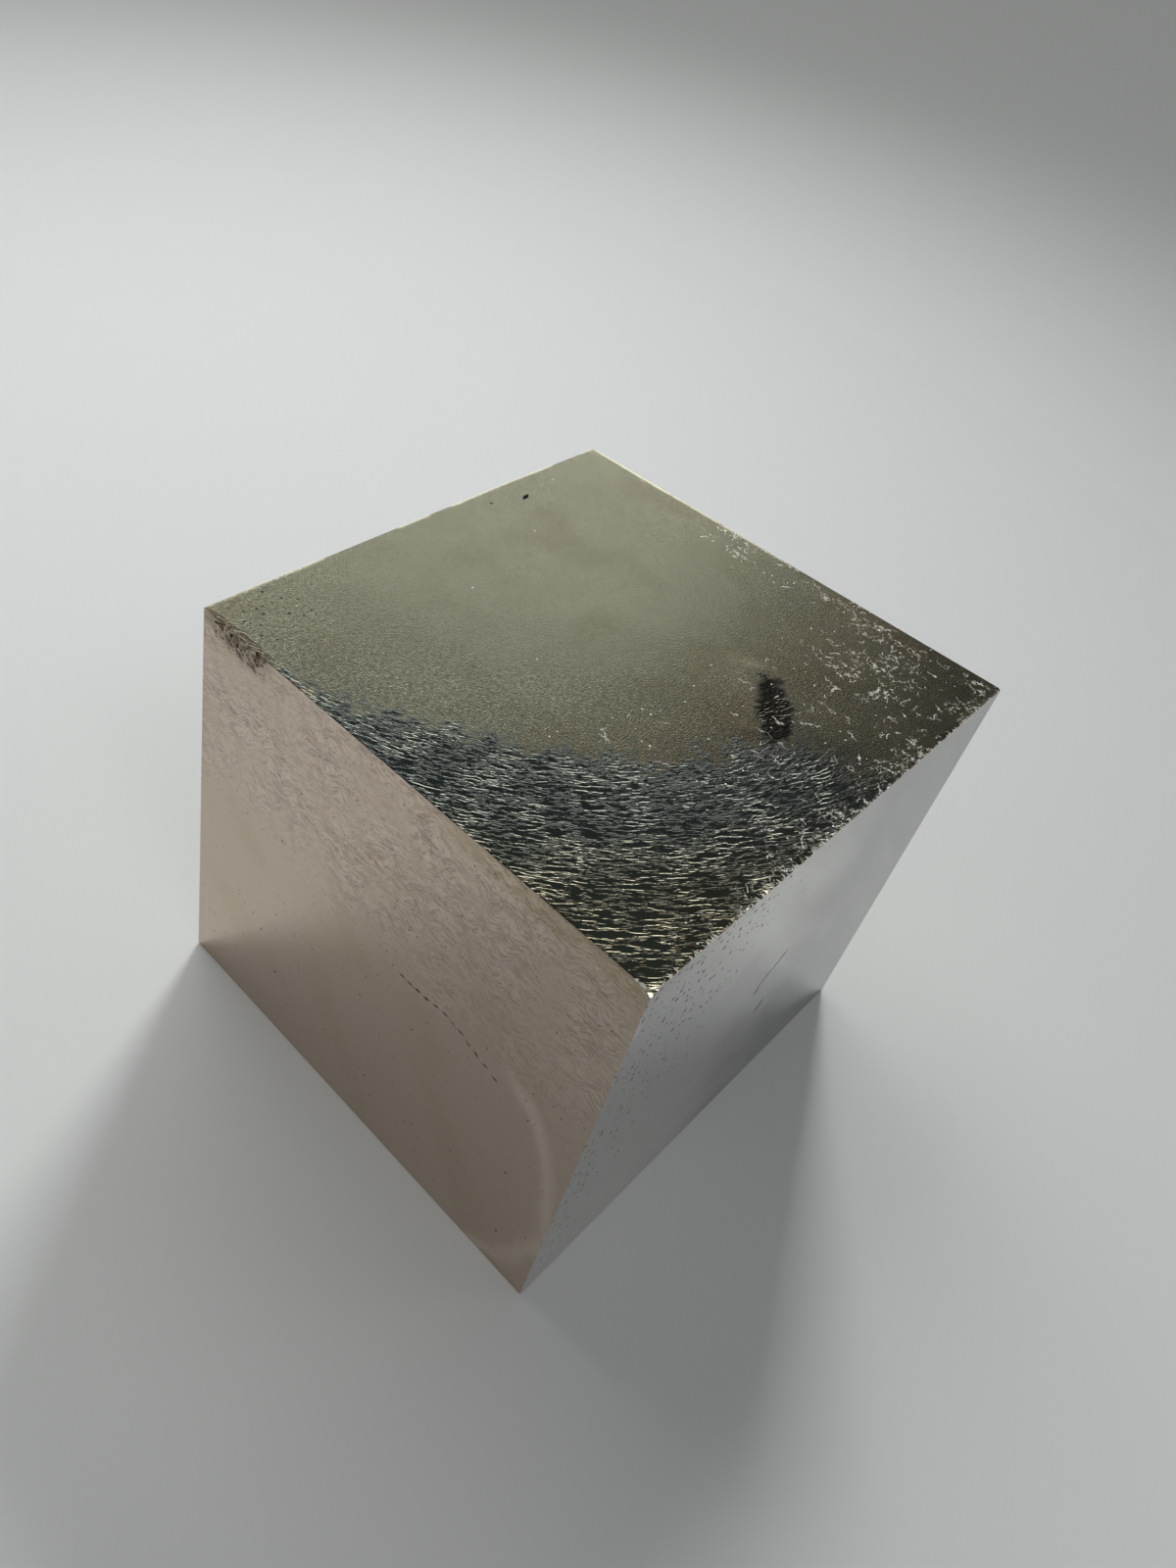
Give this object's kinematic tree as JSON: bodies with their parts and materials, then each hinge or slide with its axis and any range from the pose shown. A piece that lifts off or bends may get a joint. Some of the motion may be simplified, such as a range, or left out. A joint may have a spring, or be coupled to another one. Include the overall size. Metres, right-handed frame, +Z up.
{
  "type": "pyrite crystal",
  "caption": "Cube-shaped pyrite crystal with flat metallic faces, sharp edges with small chips, fine growth ripples and pits; it lies on a flat face.",
  "frame": {"origin": "centre of the flat bottom face's bounding rectangle, on the surface that the crystal lies on", "axes": "+Z up out of the rippled top face, +Y along the longest edges, +X out of the silvery right face"},
  "size_m": [0.0259, 0.0273, 0.0244],
  "materials": {
    "pyrite": "natural pyrite: pale brassy grey metal, satin where it is smooth, near mirror where it is rippled"
  },
  "bodies": {
    "root": {"pyrite_cube": "pyrite"}
  },
  "joints": []
}
